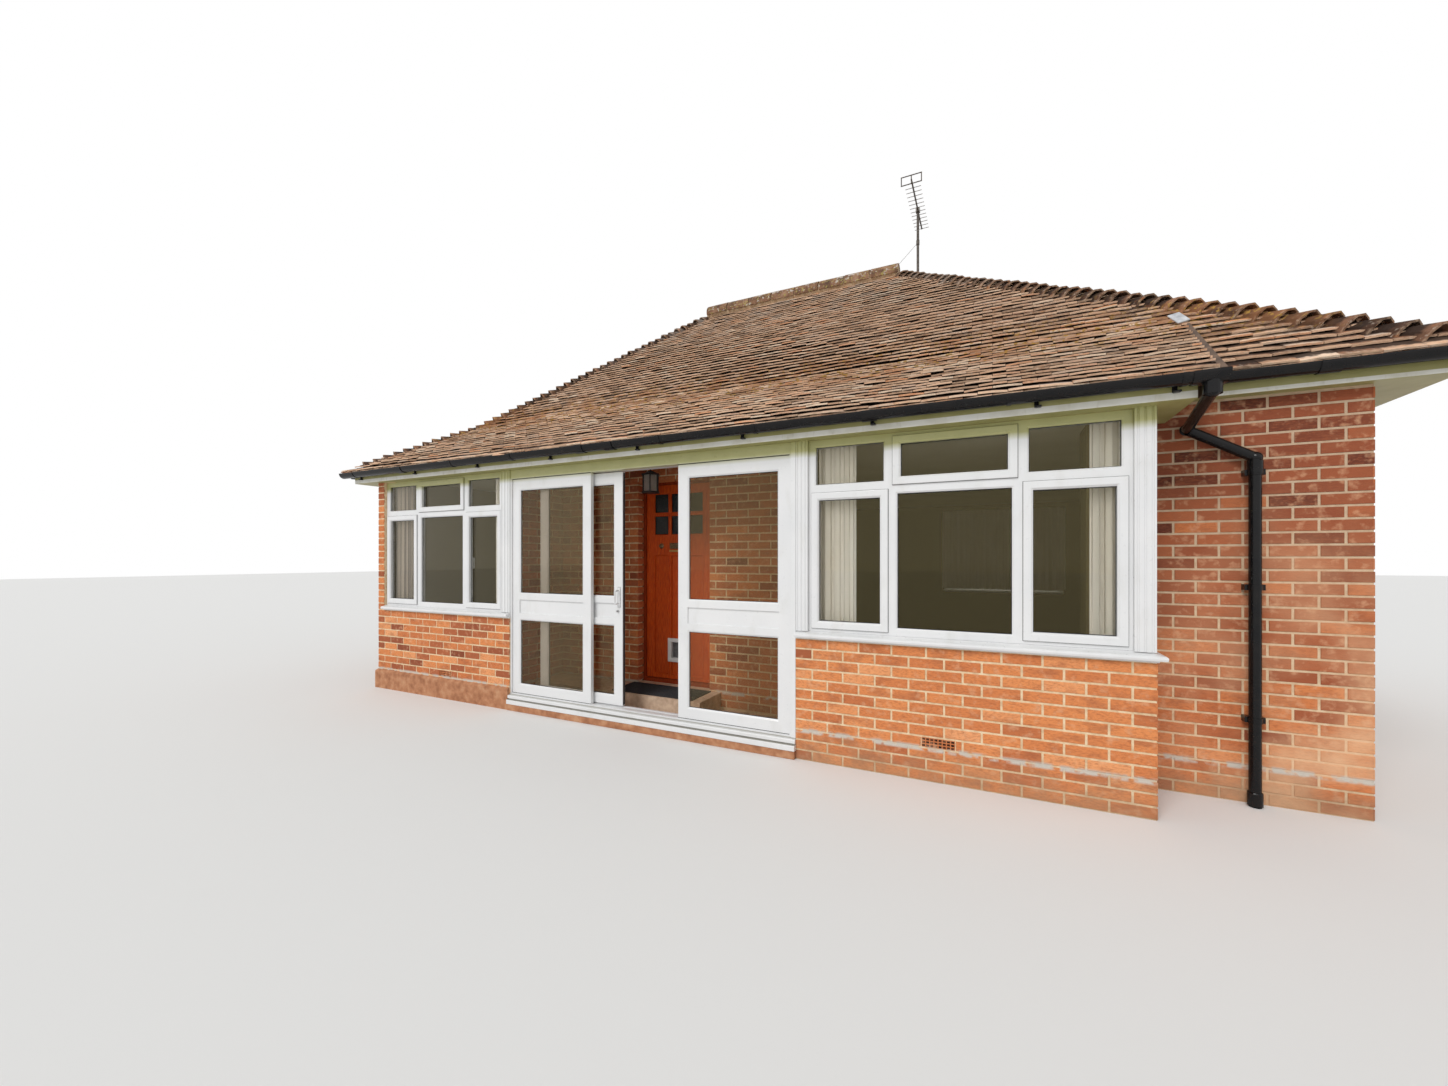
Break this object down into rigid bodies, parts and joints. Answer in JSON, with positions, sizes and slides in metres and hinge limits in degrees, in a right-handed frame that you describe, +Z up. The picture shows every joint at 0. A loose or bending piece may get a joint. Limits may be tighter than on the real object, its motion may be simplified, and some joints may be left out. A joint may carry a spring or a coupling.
{
  "type": "brick bungalow",
  "caption": "Hollow brick bungalow with a hipped tiled roof, corner window bays and a glazed porch whose sliding panel, front door and cat flap move.",
  "frame": {"origin": "centre of the walls' footprint at ground level", "axes": "+X to the right seen from the front, +Y from the front to the rear, +Z up"},
  "size_m": [9.19, 6.964, 6.066],
  "materials": {
    "brick": "fired clay facing brick in pale mortar",
    "concrete": "trowelled, worn",
    "plaster": "painted board",
    "mat": "ribbed pile",
    "white_plastic": "smooth white moulded profile",
    "window_glass": "clear",
    "dark_glass": "obscured",
    "stained_timber": "orange-red varnish",
    "bronze_metal": "tarnished",
    "flap_plastic": "smoked, scratched",
    "clay_tile": "weathered, with moss and lichen",
    "painted_timber": "white gloss paint, dusty",
    "black_plastic": "smooth",
    "aluminium": "weathered tube",
    "black_iron": "satin black",
    "curtain_cloth": "plain woven"
  },
  "bodies": {
    "house": {"floor_slab": "concrete", "left_bay_wall": "brick", "right_bay_wall": "brick", "left_side_wall": "brick", "right_side_wall": "brick", "wing_front_wall": "brick", "rear_wall": "brick", "porch_rear_wall_left": "brick", "porch_rear_wall_right": "brick", "porch_side_walls": "brick", "lintels": "brick", "ceiling": "plaster", "porch_step": "concrete", "door_mat": "mat", "window_sills": "white_plastic", "moulded_posts": "white_plastic", "left_window_frame": "white_plastic", "right_window_frame": "white_plastic", "rear_window_frames": "white_plastic", "window_glass": "window_glass", "screen_frame": "white_plastic", "fixed_panels": "white_plastic", "fixed_panel_glass": "window_glass", "front_door_frame": "stained_timber", "main_front_slope": "clay_tile", "lower_front_slope": "clay_tile", "left_slope": "clay_tile", "right_slope": "clay_tile", "rear_slope": "clay_tile", "ridge_tiles": "clay_tile", "hip_tiles": "clay_tile", "eaves_boards": "painted_timber", "gutters": "black_plastic", "downpipe": "black_plastic", "aerial": "aluminium", "porch_lantern": "black_iron", "security_light": "white_plastic", "curtains": "curtain_cloth"},
    "porch_slider": {"sliding_panel": "white_plastic", "sliding_panel_glass": "window_glass"},
    "entrance_door": {"front_door": "stained_timber", "front_door_glass": "dark_glass", "door_furniture": "bronze_metal", "cat_flap_frame": "white_plastic"},
    "flap": {"cat_flap": "flap_plastic"}
  },
  "joints": [
    {"name": "porch_slide", "type": "slide", "parent": "house", "child": "porch_slider", "axis": [1, 0, 0], "range_m": [-0.25, 0.639]},
    {"name": "front_door_hinge", "type": "hinge", "parent": "house", "child": "entrance_door", "pos_m": [-0.2445, -2.368, 1.25], "axis": [0, 0, -1], "range_deg": [0, 100]},
    {"name": "cat_flap_hinge", "type": "hinge", "parent": "entrance_door", "child": "flap", "pos_m": [-0.628, -2.398, 0.631], "axis": [1, 0, 0], "range_deg": [-75, 75]}
  ]
}
